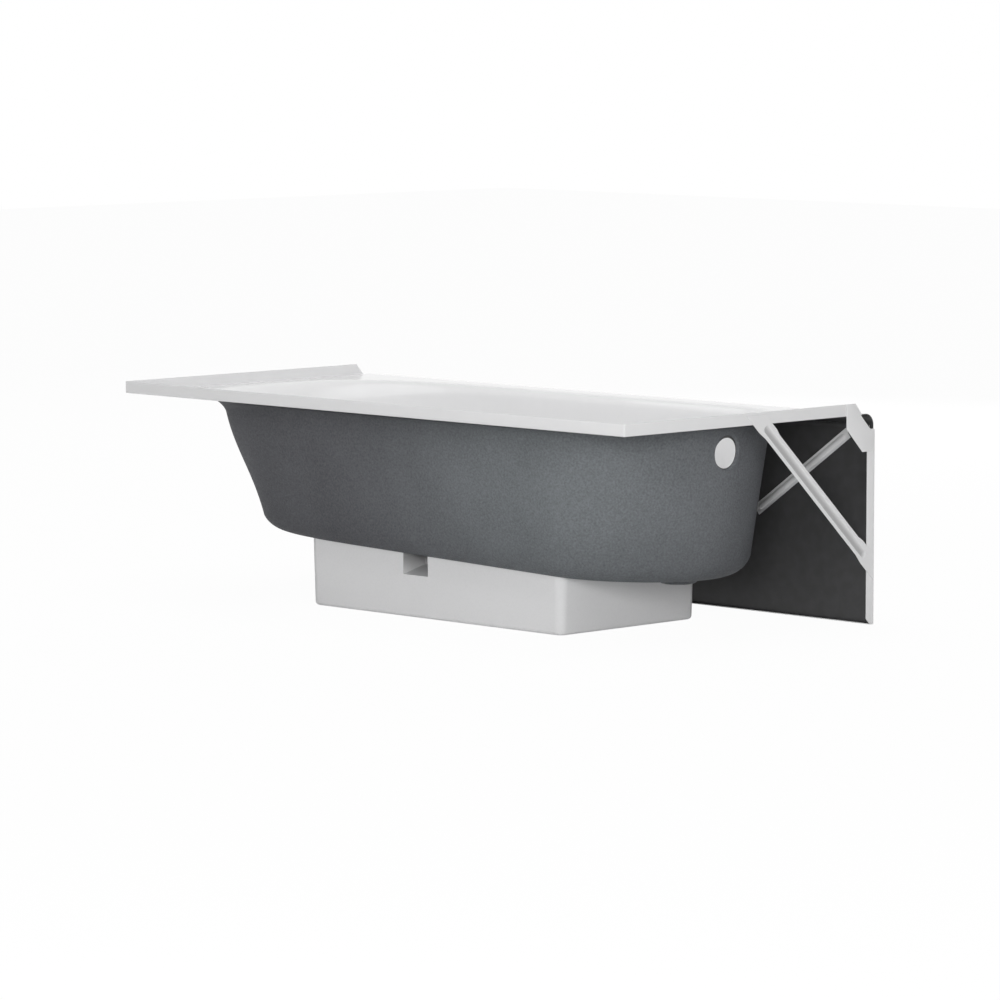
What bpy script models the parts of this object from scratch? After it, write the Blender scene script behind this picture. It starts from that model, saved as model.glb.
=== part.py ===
# Recessed steel bathtub with an apron front, modelled in metres with +Z up.
# The origin is on the floor under the middle of the footprint.
# +X runs towards the head end, -X towards the drain end, and the apron faces -Y.

import math

import bmesh
import bpy
from mathutils import Vector

# Overall sizes
bath_length = 1.524
bath_width = 0.762
deck_height = 0.4464
flange_rise = 0.0239
sheet = 0.002
seat_gap = 0.0003

# Tile flange on the back and both ends
flange_cove_radius = 0.001
flange_corner_radius = 0.0038
flange_front_setback = 0.0423
flange_tip_setback = 0.0634

# Rolled front rim
roll_radius = 0.025
roll_lip_drop = 0.0074
roll_end_setback = 0.0055

# Bathing well, measured on its enamelled face at deck level
back_ledge = 0.064
front_ledge = 0.096
drain_ledge = 0.058
head_ledge = 0.086
well_depth = 0.3185
side_draft = 0.175
drain_wall_draft = 0.086
head_lean = 0.1476
head_wave_share = 0.054
head_corner_length = 0.483
head_corner_power_top = 2.74
head_corner_power_floor = 4.0
drain_corner_length = 0.2423
drain_corner_power = 1.84
floor_pitch = 0.0292
rim_radius = 0.022
head_rim_radius = 0.0553
head_rim_blend_power = 4
floor_edge_radius = 0.0354
wall_turn = math.radians(80)

# Drain recess and overflow hole
drain_setback = 0.137
drain_recess_depth = 0.015
drain_recess_radius = 0.045
drain_seat_radius = 0.031
drain_hole_radius = 0.024
backing_drain_radius = 0.0275
overflow_drop = 0.0619
overflow_radius = 0.03175
backing_overflow_radius = 0.0335

# Composite backing under the well
backing_thickness = 0.0065
backing_collar = 0.006

# Apron panel
apron_return = 0.0248
apron_bend_radius = 0.003
apron_foot_chamfer = 0.013
apron_slit = 0.002
apron_tongue_height = 0.007
apron_tongue_setback = 0.0023
apron_joggle_height = 0.003
apron_tongue_end_gap = 0.012

# Corner plates that tie the tile flange to the apron's end returns
corner_plate_thickness = 0.0015
corner_plate_top_gap = 0.0005
corner_plate_inner_setback = 0.0925
corner_plate_nose_setback = 0.0726
corner_plate_heel_drop = 0.0284
corner_plate_foot_drop = 0.0791
corner_plate_foot_setback = 0.042
corner_plate_tip_setback = 0.0184
corner_plate_tip_drop = 0.0313
corner_plate_edge_setback = 0.006
corner_plate_shoulder_drop = 0.0383

# Beaded braces from the tile flange to the foot of the apron
brace_thickness = 0.0015
brace_half_width = 0.0198
brace_shaft_half_width = 0.0165
brace_top_setback = 0.3734
brace_top_gap = 0.0058
brace_foot_setback = 0.005
brace_foot_z = 0.1219
brace_tab_length = 0.051
brace_neck_length = 0.020
brace_bead_margin = 0.038
brace_bead_half_width = 0.009
brace_bead_depth = 0.005

# Beaded stiffeners flat on the apron's inner face
stiffener_thickness = 0.0015
stiffener_half_length = 0.1586
stiffener_half_width = 0.01185
stiffener_centre_setback = 0.2027
stiffener_centre_drop = 0.1373
stiffener_slope = math.radians(35.3)
stiffener_bead_margin = 0.0095
stiffener_bead_half_width = 0.0065
stiffener_bead_depth = 0.0032

# Foam block under the floor of the well
foam_drain_gap = 0.1296
foam_head_gap = 0.355
foam_front_gap = 0.1077
foam_back_gap = 0.086
foam_draft = 0.026
foam_bed_rise = 0.0621
foam_corner_radius = 0.020
foam_foot_radius = 0.009
foam_pocket_from_drain = 0.5605
foam_pocket_width = 0.0755
foam_pocket_depth = 0.063
foam_pocket_drop = 0.0361
foam_pocket_rise = 0.0155

# Facet counts and a shared overrun for cutters
end_segments = 20
side_segments = 8
fillet_segments = 6
wall_segments = 6
floor_edge_segments = 4
cove_segments = 3
corner_segments = 3
roll_segments = 6
bend_segments = 3
hole_segments = 32
foam_corner_segments = 5
bead_end_segments = 8
bead_profile_segments = 4
cut_overrun = 0.030
smooth_angle = math.radians(35)

# Sizes that follow from the ones above
half_length = bath_length / 2
half_width = bath_width / 2
flange_top = deck_height + flange_rise
backing_offset = sheet + seat_gap
backing_outside = backing_offset + backing_thickness
seam_height = deck_height - roll_radius - roll_lip_drop
apron_top = seam_height - seat_gap
apron_inner_y = -half_width + sheet
apron_foot_return = apron_return - apron_foot_chamfer
deck_end_x = half_length - sheet - flange_cove_radius
deck_back_y = half_width - sheet - flange_cove_radius
roll_start_y = -half_width + roll_radius
roll_end_x = half_length - roll_end_setback
flange_front_y = -half_width + flange_front_setback
flange_end_lean = (flange_tip_setback - flange_front_setback) / flange_rise
plate_x = half_length + seat_gap
well_centre_y = (front_ledge - back_ledge) / 2
well_half_width = half_width - (front_ledge + back_ledge) / 2
well_drain_reach = half_length - drain_ledge
well_head_reach = half_length - head_ledge
floor_height_at_drain = deck_height - well_depth
drain_x = drain_setback - well_drain_reach
overflow_height = deck_height - overflow_drop
stiffener_centre_x = half_length - stiffener_centre_setback
stiffener_centre_z = deck_height - stiffener_centre_drop
foam_drain_x = drain_x + foam_drain_gap
foam_head_x = well_head_reach - foam_head_gap
foam_front_y = well_centre_y - well_half_width + foam_front_gap
foam_back_y = well_centre_y + well_half_width - foam_back_gap
foam_blank_height = floor_height_at_drain + foam_bed_rise
foam_pocket_centre_x = drain_x + foam_pocket_from_drain
foam_pocket_sill = floor_height_at_drain - foam_pocket_drop


def clear_scene():
    for item in list(bpy.data.objects):
        bpy.data.objects.remove(item, do_unlink=True)


def make_finish(name, colour, roughness, metallic=0.0):
    finish = bpy.data.materials.new(name)
    finish.use_nodes = True
    shader = finish.node_tree.nodes["Principled BSDF"]
    shader.inputs["Base Color"].default_value = (*colour, 1.0)
    shader.inputs["Roughness"].default_value = roughness
    shader.inputs["Metallic"].default_value = metallic
    return finish


def aim_faces(bm, direction):
    # Winds the faces alike, with the widest face along the given direction pointing that way.
    bmesh.ops.recalc_face_normals(bm, faces=bm.faces)
    target = Vector(direction)
    widest = max(bm.faces, key=lambda face: abs(face.normal.dot(target)) * face.calc_area())
    if widest.normal.dot(target) < 0:
        bmesh.ops.reverse_faces(bm, faces=bm.faces)


def add_object(name, bm, finish):
    mesh = bpy.data.meshes.new(name)
    bm.to_mesh(mesh)
    bm.free()
    mesh.materials.append(finish)
    mesh.shade_smooth()
    mesh.set_sharp_from_angle(angle=smooth_angle)
    item = bpy.data.objects.new(name, mesh)
    bpy.context.collection.objects.link(item)
    return item


def add_sheet(name, bm, facing, thickness, finish):
    # A formed sheet: the drawn skin is its outer face, and the metal lies behind it.
    aim_faces(bm, facing)
    item = add_object(name, bm, finish)
    solid = item.modifiers.new("thickness", "SOLIDIFY")
    solid.thickness = thickness
    solid.offset = -1.0
    solid.use_even_offset = True
    solid.use_quality_normals = True
    return item


def cut(item, cutter):
    cutter.hide_render = True
    cutter.display_type = "WIRE"
    step = item.modifiers.new("cut " + cutter.name, "BOOLEAN")
    step.operation = "DIFFERENCE"
    step.solver = "EXACT"
    step.object = cutter


def add_ring(bm, points):
    return [bm.verts.new(point) for point in points]


def bridge(bm, first, second):
    count = len(first)
    for index in range(count):
        after = (index + 1) % count
        bm.faces.new((first[index], first[after], second[after], second[index]))


def bridge_open(bm, first, second):
    for index in range(len(first) - 1):
        bm.faces.new((first[index], first[index + 1], second[index + 1], second[index]))


def loft(bm, rings):
    drawn = [add_ring(bm, ring) for ring in rings]
    for first, second in zip(drawn, drawn[1:]):
        bridge(bm, first, second)
    return drawn


def ring_edges(bm, ring):
    return [bm.edges.get((vert, ring[(index + 1) % len(ring)])) for index, vert in enumerate(ring)]


def draw_edges(bm, ring):
    return [bm.edges.new((vert, ring[(index + 1) % len(ring)])) for index, vert in enumerate(ring)]


# The places round the well in order: the head end, the back side, the drain end and the front side.
def well_places():
    turns = [math.pi * index / end_segments - math.pi / 2 for index in range(end_segments + 1)]
    shares = [index / side_segments for index in range(1, side_segments)]
    places = [("head", turn) for turn in turns]
    places += [("back", share) for share in shares]
    places += [("drain", turn) for turn in turns]
    places += [("front", share) for share in shares]
    return places


# The rim is tight along the sides and widens round the head end.
def rim_radius_at(place):
    part, turn = place
    if part != "head":
        return rim_radius
    head_share = 1 - abs(math.sin(turn)) ** head_rim_blend_power
    return rim_radius + (head_rim_radius - rim_radius) * head_share


# One point of the well's plan, at its own depth. The floor falls towards the drain, and the fall
# fades out up the walls.
def well_point(place, depth, drop, outward):
    part, value = place
    down_share = depth / well_depth
    half = well_half_width - side_draft * depth + outward
    drain_end = -well_drain_reach + drain_wall_draft * depth - outward
    wave = head_wave_share * math.sin(2 * math.pi * down_share)
    head_end = well_head_reach - head_lean * (down_share - wave) + outward
    head_radius = head_corner_length + outward
    drain_radius = drain_corner_length + outward
    head_centre = head_end - head_radius
    drain_centre = drain_end + drain_radius
    if part in ("head", "drain"):
        power = drain_corner_power
        if part == "head":
            power = head_corner_power_top
            power += (head_corner_power_floor - head_corner_power_top) * down_share
        along = abs(math.cos(value)) ** (2 / power)
        across = math.copysign(abs(math.sin(value)) ** (2 / power), math.sin(value))
        if part == "head":
            x = head_centre + head_radius * along
            y = well_centre_y + half * across
        else:
            x = drain_centre - drain_radius * along
            y = well_centre_y - half * across
    elif part == "back":
        x = head_centre + (drain_centre - head_centre) * value
        y = well_centre_y + half
    else:
        x = drain_centre + (head_centre - drain_centre) * value
        y = well_centre_y - half
    fall = floor_pitch * (x - drain_x) * down_share
    return Vector((x, y, deck_height - depth - drop + fall))


# Rings of a skin that lies a given distance outside the enamelled face, from the rim to the floor.
def well_rings(offset):
    places = well_places()
    rings = []
    for index in range(fillet_segments + 1):
        angle = wall_turn * index / fillet_segments
        ring = []
        for place in places:
            radius = rim_radius_at(place)
            depth = radius * (1 - math.cos(angle))
            outward = radius * math.sin(wall_turn) - (radius - offset) * math.sin(angle)
            ring.append(well_point(place, depth, offset * math.cos(angle), outward))
        rings.append(ring)
    lean = math.pi / 2 - wall_turn
    wall_foot = well_depth - floor_edge_radius * (1 - math.sin(lean))
    for index in range(1, wall_segments):
        ring = []
        for place in places:
            wall_top = rim_radius_at(place) * (1 - math.cos(wall_turn))
            depth = wall_top + (wall_foot - wall_top) * index / wall_segments
            ring.append(well_point(place, depth, offset * math.cos(wall_turn), offset * math.sin(wall_turn)))
        rings.append(ring)
    for index in range(floor_edge_segments + 1):
        angle = lean + wall_turn * index / floor_edge_segments
        depth = well_depth - floor_edge_radius * (1 - math.sin(angle))
        outward = (floor_edge_radius + offset) * math.cos(angle) - floor_edge_radius * math.cos(lean)
        rings.append([well_point(place, depth, offset * math.sin(angle), outward) for place in places])
    return rings


# The drain recess: a short cone down to a level seat with the drain hole in it.
def drain_rings(floor_ring, offset, hole_radius):
    slope = math.atan2(drain_recess_depth, drain_recess_radius - drain_seat_radius)
    spread = offset * math.tan(slope / 2)
    centre = Vector((drain_x, well_centre_y, 0))
    seat_z = floor_height_at_drain - drain_recess_depth - offset
    mouth = []
    seat = []
    hole = []
    for point in floor_ring:
        away = Vector((point.x, point.y, 0)) - centre
        away.normalize()
        edge = centre + away * (drain_recess_radius + spread)
        edge.z = floor_height_at_drain - offset + floor_pitch * (edge.x - drain_x)
        mouth.append(edge)
        level = centre + away * (drain_seat_radius + spread)
        level.z = seat_z
        seat.append(level)
        bore = centre + away * hole_radius
        bore.z = seat_z
        hole.append(bore)
    return [mouth, seat, hole]


# The line on the deck where the tile flange starts to turn up, from the drain end round the back.
def flange_path():
    path = [(Vector((-deck_end_x, flange_front_y, deck_height)), Vector((-1, 0, 0)))]
    radius = flange_corner_radius - sheet - flange_cove_radius
    for side in (-1, 1):
        centre = Vector((side * (deck_end_x - radius), deck_back_y - radius, deck_height))
        turns = [math.pi / 2 * index / corner_segments for index in range(corner_segments + 1)]
        if side > 0:
            turns.reverse()
        for turn in turns:
            outward = Vector((side * math.cos(turn), math.sin(turn), 0))
            path.append((centre + outward * radius, outward))
    path.append((Vector((deck_end_x, flange_front_y, deck_height)), Vector((1, 0, 0))))
    return path


def flange_profile():
    profile = []
    for index in range(1, cove_segments + 1):
        angle = math.pi / 2 * index / cove_segments
        profile.append((flange_cove_radius * math.sin(angle), flange_cove_radius * (1 - math.cos(angle))))
    profile.append((flange_cove_radius, flange_rise))
    return profile


# The flange's front ends are cut on a slant, so each row starts further back than the last.
def add_flange(bm, start):
    path = flange_path()
    below = start
    for outward, rise in flange_profile():
        row = []
        for index, (point, away) in enumerate(path):
            place = point + away * outward + Vector((0, 0, rise))
            if index in (0, len(path) - 1):
                place.y += rise * flange_end_lean
            row.append(bm.verts.new(place))
        bridge_open(bm, below, row)
        below = row


def add_roll(bm, start):
    below = start
    profile = []
    for index in range(1, roll_segments + 1):
        angle = math.pi / 2 * index / roll_segments
        profile.append((roll_radius * math.sin(angle), roll_radius * (1 - math.cos(angle))))
    profile.append((roll_radius, roll_radius + roll_lip_drop))
    for outward, drop in profile:
        row = []
        for side in (-1, 1):
            place = Vector((side * roll_end_x, roll_start_y - outward, deck_height - drop))
            row.append(bm.verts.new(place))
        bridge_open(bm, below, row)
        below = row


def add_overflow_cutter(name, radius):
    length = 2 * cut_overrun
    bm = bmesh.new()
    bmesh.ops.create_cone(bm, cap_ends=True, segments=hole_segments, radius1=radius, radius2=radius, depth=length)
    cutter = add_object(name, bm, cutter_finish)
    cutter.rotation_euler = (0, math.pi / 2, 0)
    depth = deck_height - overflow_height
    wall_x = -well_drain_reach + drain_wall_draft * depth
    cutter.location = (wall_x, well_centre_y, overflow_height)
    return cutter


# The steel pressing: well, deck, tile flange on three sides and the rolled front rim.
def build_bath():
    bm = bmesh.new()
    rings = well_rings(0)
    rings += drain_rings(rings[-1], 0, drain_hole_radius)
    drawn = loft(bm, rings)
    flange_start = [bm.verts.new(point) for point, away in flange_path()]
    roll_start = [bm.verts.new((side * roll_end_x, roll_start_y, deck_height)) for side in (-1, 1)]
    steps = [bm.verts.new((side * roll_end_x, flange_front_y, deck_height)) for side in (-1, 1)]
    outline = flange_start + [steps[1], roll_start[1], roll_start[0], steps[0]]
    bmesh.ops.triangle_fill(bm, use_beauty=True, edges=draw_edges(bm, outline) + ring_edges(bm, drawn[0]))
    add_flange(bm, flange_start)
    add_roll(bm, roll_start)
    bath = add_sheet("bath_pressing", bm, (0, 0, 1), sheet, enamel)
    cut(bath, add_overflow_cutter("overflow hole cutter", overflow_radius))
    return bath


# The grey composite layer bonded to the outside of the well.
def build_backing():
    bm = bmesh.new()
    rings = well_rings(backing_offset)
    collar = []
    for place in well_places():
        reach = rim_radius_at(place) * math.sin(wall_turn) + backing_collar
        collar.append(well_point(place, 0, backing_offset, reach))
    rings = [collar] + rings
    rings += drain_rings(rings[-1], backing_offset, backing_drain_radius)
    loft(bm, rings)
    backing = add_sheet("composite_backing", bm, (0, 0, 1), backing_thickness, composite)
    cut(backing, add_overflow_cutter("backing overflow cutter", backing_overflow_radius))
    return backing


# The apron: a flat front with an end return at each side, a foot return and a joggled top edge
# that tucks behind the lip of the rolled rim.
def build_apron():
    bm = bmesh.new()
    bend = apron_bend_radius
    foot_end = half_length - bend - apron_slit
    tongue_end = half_length - apron_tongue_end_gap
    shoulder_z = apron_top - apron_joggle_height
    levels = (0, bend, shoulder_z, apron_top)
    columns = {}
    for side in (-1, 1):
        places = [(side * (tongue_end - apron_slit), -half_width), (side * tongue_end, -half_width),
                  (side * foot_end, -half_width)]
        for index in range(bend_segments + 1):
            angle = math.pi / 2 * index / bend_segments
            places.append((side * (half_length - bend * (1 - math.sin(angle))),
                           -half_width + bend * (1 - math.cos(angle))))
        columns[side] = [[bm.verts.new((x, y, z)) for z in levels] for x, y in places]
        drawn = columns[side]
        last = len(drawn) - 1
        for index in range(last):
            for level in range(len(levels) - 1):
                on_foot = level == 0 and index < 3
                in_tongue_slit = level == len(levels) - 2 and index == 0
                if on_foot or in_tongue_slit:
                    continue
                first = drawn[index]
                second = drawn[index + 1]
                bm.faces.new((first[level], second[level], second[level + 1], first[level + 1]))
        inner_y = -half_width + apron_return
        toe = bm.verts.new((side * half_length, inner_y - apron_foot_chamfer, 0))
        heel = bm.verts.new((side * half_length, inner_y, apron_foot_chamfer))
        head = bm.verts.new((side * half_length, inner_y, apron_top))
        bm.faces.new(drawn[last] + [head, heel, toe])
    left = columns[-1]
    right = columns[1]
    bm.faces.new((left[0][1], right[0][1], right[0][2], left[0][2]))
    foot = [column[1] for column in left[2::-1] + right[:3]]
    for index in range(1, bend_segments + 1):
        angle = math.pi / 2 * index / bend_segments
        y = -half_width + bend * (1 - math.cos(angle))
        z = bend * (1 - math.sin(angle))
        row = [bm.verts.new((vert.co.x, y, z)) for vert in foot]
        bridge_open(bm, foot, row)
        foot = row
    row = [bm.verts.new((vert.co.x, -half_width + apron_foot_return, 0)) for vert in foot]
    bridge_open(bm, foot, row)
    tongue = [left[0][2], right[0][2]]
    inset_y = -half_width + apron_tongue_setback
    for z in (apron_top, apron_top + apron_tongue_height):
        row = [bm.verts.new((vert.co.x, inset_y, z)) for vert in tongue]
        bridge_open(bm, tongue, row)
        tongue = row
    bmesh.ops.delete(bm, geom=[vert for vert in bm.verts if not vert.link_faces], context="VERTS")
    return add_sheet("apron_panel", bm, (0, -1, 0), sheet, enamel)


# A flat plate over the open corner between the tile flange and the apron's end return.
def build_corner_plate(name, side):
    inner_y = corner_plate_inner_setback - half_width
    edge_y = corner_plate_edge_setback - half_width
    foot_z = deck_height - corner_plate_foot_drop
    outline = [
        (inner_y, flange_top - corner_plate_top_gap),
        (inner_y, deck_height - corner_plate_heel_drop),
        (corner_plate_foot_setback - half_width, foot_z),
        (edge_y, foot_z),
        (edge_y, deck_height - corner_plate_shoulder_drop),
        (corner_plate_tip_setback - half_width, deck_height - corner_plate_tip_drop),
        (corner_plate_nose_setback - half_width, flange_top - corner_plate_top_gap),
    ]
    bm = bmesh.new()
    outer_x = side * (plate_x + corner_plate_thickness)
    bm.faces.new([bm.verts.new((outer_x, y, z)) for y, z in outline])
    return add_sheet(name, bm, (side, 0, 0), corner_plate_thickness, enamel)


# A stadium-shaped ring of a pressed bead, in the strap's own plane: along, across and depth.
def bead_ring(start, end, radius, depth):
    ring = []
    for index in range(bead_end_segments + 1):
        angle = -math.pi / 2 + math.pi * index / bead_end_segments
        ring.append((end + radius * math.cos(angle), radius * math.sin(angle), depth))
    for index in range(bead_end_segments + 1):
        angle = math.pi / 2 + math.pi * index / bead_end_segments
        ring.append((start + radius * math.cos(angle), radius * math.sin(angle), depth))
    return ring


# A strap skin with a rounded bead down its middle. The placer turns strap coordinates into places.
def strap_skin(outline, bead_start, bead_end, bead_half_width, bead_depth, placer):
    bm = bmesh.new()
    edge = add_ring(bm, [placer(along, across, 0) for along, across in outline])
    rings = []
    for index in range(bead_profile_segments):
        angle = math.pi / 2 * index / bead_profile_segments
        radius = bead_half_width * math.cos(angle)
        ring = bead_ring(bead_start + bead_half_width, bead_end - bead_half_width, radius,
                         bead_depth * math.sin(angle))
        rings.append([placer(*point) for point in ring])
    drawn = loft(bm, rings)
    floor = bm.faces.new(drawn[-1])
    bmesh.ops.triangle_fill(bm, use_beauty=True, edges=draw_edges(bm, edge) + ring_edges(bm, drawn[0]))
    bmesh.ops.triangulate(bm, faces=[floor])
    return bm


# The end brace runs from the tile flange down to the apron's end return. Its waist is narrower
# than its tabs, and its bead is pressed inwards.
def build_end_brace(name, side):
    top = Vector((brace_top_setback - half_width, flange_top - brace_top_gap))
    foot = Vector((-half_width + brace_foot_setback, brace_foot_z))
    along = (foot - top).normalized()
    across = Vector((-along.y, along.x))
    length = (foot - top).length
    outer_x = plate_x + brace_thickness
    waist_start = brace_tab_length + brace_neck_length

    def placer(distance, offset, depth):
        place = top + along * distance + across * offset
        return Vector((side * (outer_x - depth), place.x, place.y))

    def top_cut(offset):
        return -offset * across.y / along.y

    def foot_cut(offset):
        return length - offset * across.x / along.x

    outline = []
    for edge in (1, -1):
        wide = edge * brace_half_width
        narrow = edge * brace_shaft_half_width
        run = [(top_cut(wide), wide), (brace_tab_length, wide), (waist_start, narrow),
               (length - waist_start, narrow), (length - brace_tab_length, wide), (foot_cut(wide), wide)]
        if edge < 0:
            run.reverse()
        outline += run
    bm = strap_skin(outline, brace_bead_margin, length - brace_bead_margin,
                    brace_bead_half_width, brace_bead_depth, placer)
    return add_sheet(name, bm, (side, 0, 0), brace_thickness, enamel)


# The stiffener lies flat on the apron's inner face and falls towards the middle of the bath.
def build_stiffener(name, side):
    centre = Vector((side * stiffener_centre_x, stiffener_centre_z))
    along = Vector((-side * math.cos(stiffener_slope), -math.sin(stiffener_slope)))
    across = Vector((-along.y, along.x))
    outer_y = apron_inner_y + seat_gap + stiffener_thickness

    def placer(distance, offset, depth):
        place = centre + along * (distance - stiffener_half_length) + across * offset
        return Vector((place.x, outer_y + depth, place.y))

    length = 2 * stiffener_half_length
    wide = stiffener_half_width
    outline = [(0, wide), (length, wide), (length, -wide), (0, -wide)]
    bm = strap_skin(outline, stiffener_bead_margin, length - stiffener_bead_margin,
                    stiffener_bead_half_width, stiffener_bead_depth, placer)
    return add_sheet(name, bm, (0, 1, 0), stiffener_thickness, enamel)


def rounded_rectangle(low_x, high_x, low_y, high_y, radius, z):
    corners = [(high_x - radius, low_y + radius, -math.pi / 2), (high_x - radius, high_y - radius, 0),
               (low_x + radius, high_y - radius, math.pi / 2), (low_x + radius, low_y + radius, math.pi)]
    ring = []
    for centre_x, centre_y, start in corners:
        for index in range(foam_corner_segments + 1):
            angle = start + math.pi / 2 * index / foam_corner_segments
            ring.append(Vector((centre_x + radius * math.cos(angle), centre_y + radius * math.sin(angle), z)))
    return ring


def add_well_cutter(name, offset):
    bm = bmesh.new()
    drawn = loft(bm, well_rings(offset)[fillet_segments:])
    bm.faces.new(drawn[0])
    bm.faces.new(drawn[-1])
    bmesh.ops.recalc_face_normals(bm, faces=bm.faces)
    return add_object(name, bm, cutter_finish)


def add_box_cutter(name, low, high):
    bm = bmesh.new()
    bmesh.ops.create_cube(bm, size=1)
    size = Vector(high) - Vector(low)
    middle = (Vector(high) + Vector(low)) / 2
    bmesh.ops.scale(bm, vec=size, verts=bm.verts)
    bmesh.ops.translate(bm, vec=middle, verts=bm.verts)
    return add_object(name, bm, cutter_finish)


# The foam block stands on the floor and carries the underside of the well, which it copies.
def build_foam():
    bm = bmesh.new()
    rings = []
    for index in range(foam_corner_segments + 1):
        angle = math.pi / 2 * index / foam_corner_segments
        inset = foam_foot_radius * (1 - math.sin(angle))
        z = foam_foot_radius * (1 - math.cos(angle))
        rings.append(rounded_rectangle(foam_drain_x + inset, foam_head_x - inset, foam_front_y + inset,
                                       foam_back_y - inset, foam_corner_radius - inset, z))
    swell = foam_draft * (foam_blank_height - foam_foot_radius)
    rings.append(rounded_rectangle(foam_drain_x - swell, foam_head_x + swell, foam_front_y - swell,
                                   foam_back_y + swell, foam_corner_radius + swell, foam_blank_height))
    drawn = loft(bm, rings)
    bm.faces.new(drawn[0])
    bm.faces.new(drawn[-1])
    bmesh.ops.recalc_face_normals(bm, faces=bm.faces)
    foam = add_object("foam_block", bm, foam_white)
    cut(foam, add_well_cutter("foam bed cutter", backing_outside + seat_gap))
    half_pocket = foam_pocket_width / 2
    low = (foam_pocket_centre_x - half_pocket, foam_back_y - foam_pocket_depth, foam_pocket_sill)
    high = (foam_pocket_centre_x + half_pocket, foam_back_y + cut_overrun, foam_blank_height + cut_overrun)
    pocket = add_box_cutter("foam pocket cutter", low, high)
    slope = foam_pocket_rise / foam_pocket_depth
    for vert in pocket.data.vertices:
        if vert.co.z < foam_blank_height:
            vert.co.z += slope * (foam_back_y - vert.co.y)
    cut(foam, pocket)
    return foam


clear_scene()
enamel = make_finish("white enamel", (0.86, 0.87, 0.86), 0.18)
composite = make_finish("grey composite", (0.13, 0.132, 0.14), 0.75)
foam_white = make_finish("white foam", (0.80, 0.80, 0.79), 0.85)
cutter_finish = make_finish("cutter", (0.5, 0.5, 0.5), 0.5)

build_bath()
build_backing()
build_apron()
build_foam()
for place, side in (("drain_end", -1), ("head_end", 1)):
    build_corner_plate("corner_plate_" + place, side)
    build_end_brace("end_brace_" + place, side)
    build_stiffener("apron_stiffener_" + place, side)
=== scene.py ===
# Looks for the apron bathtub: smooth surfaces, materials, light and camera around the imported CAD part.
import math

import bmesh
import bpy
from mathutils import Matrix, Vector


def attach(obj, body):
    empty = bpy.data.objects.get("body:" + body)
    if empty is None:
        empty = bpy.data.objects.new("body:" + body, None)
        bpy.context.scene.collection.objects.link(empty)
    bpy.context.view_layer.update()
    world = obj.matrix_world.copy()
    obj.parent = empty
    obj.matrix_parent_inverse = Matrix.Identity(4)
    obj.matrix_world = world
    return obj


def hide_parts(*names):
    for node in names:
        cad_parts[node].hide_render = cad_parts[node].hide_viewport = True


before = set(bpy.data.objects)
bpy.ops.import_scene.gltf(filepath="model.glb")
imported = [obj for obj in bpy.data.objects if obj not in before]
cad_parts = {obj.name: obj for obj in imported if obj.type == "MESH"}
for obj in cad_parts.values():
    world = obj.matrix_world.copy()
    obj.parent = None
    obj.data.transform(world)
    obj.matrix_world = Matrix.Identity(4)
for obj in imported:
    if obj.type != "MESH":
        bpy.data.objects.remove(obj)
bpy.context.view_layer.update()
print("stage: frame loaded with", len(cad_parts), "nodes")

# Sizes that more than one piece needs, in metres.
bath = {
    "halfLength": 0.762,
    "halfWidth": 0.381,
    "deck": 0.4464,
    "flangeRise": 0.0239,
    "sheet": 0.002,
    "gap": 0.0003,
    "backing": 0.0065,
    "smoothAngle": 38.0,
    "edgeWidth": 0.0003,
    "edgeSegments": 2,
    "edgeAngle": 50.0,
}
flangeTop = bath["deck"] + bath["flangeRise"]
backingOffset = bath["sheet"] + bath["gap"]
backingOutside = backingOffset + bath["backing"]
plateX = bath["halfLength"] + bath["gap"]

well = {
    "centreY": 0.016,
    "halfWidth": 0.301,
    "drainReach": 0.704,
    "headReach": 0.676,
    "deep": 0.3185,
    "sideDraft": 0.175,
    "drainDraft": 0.086,
    "headLean": 0.1476,
    "headWave": 0.054,
    "headLength": 0.483,
    "headPowerTop": 2.74,
    "headPowerFloor": 4.0,
    "drainLength": 0.2423,
    "drainPower": 1.84,
    "pitch": 0.0292,
    "rim": 0.022,
    "headRim": 0.0553,
    "headRimPower": 4.0,
    "floorEdge": 0.0354,
    "wallTurn": math.radians(80),
    "drainX": -0.567,
}
wellRows = {"rim": 18, "wall": 40, "floor": 18, "headTurns": 88, "drainTurns": 88, "sideSteps": 34,
            "weld": 0.00005, "seamShare": 0.000001, "startBias": 0.001}
drain = {"depth": 0.015, "recess": 0.045, "seat": 0.031, "hole": 0.024, "backingHole": 0.0275}
overflow = {"height": 0.3845, "radius": 0.03175, "backingRadius": 0.035, "backingFlare": 0.55,
            "segments": 96, "reach": 0.060}
floorAtDrain = bath["deck"] - well["deep"]


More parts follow.
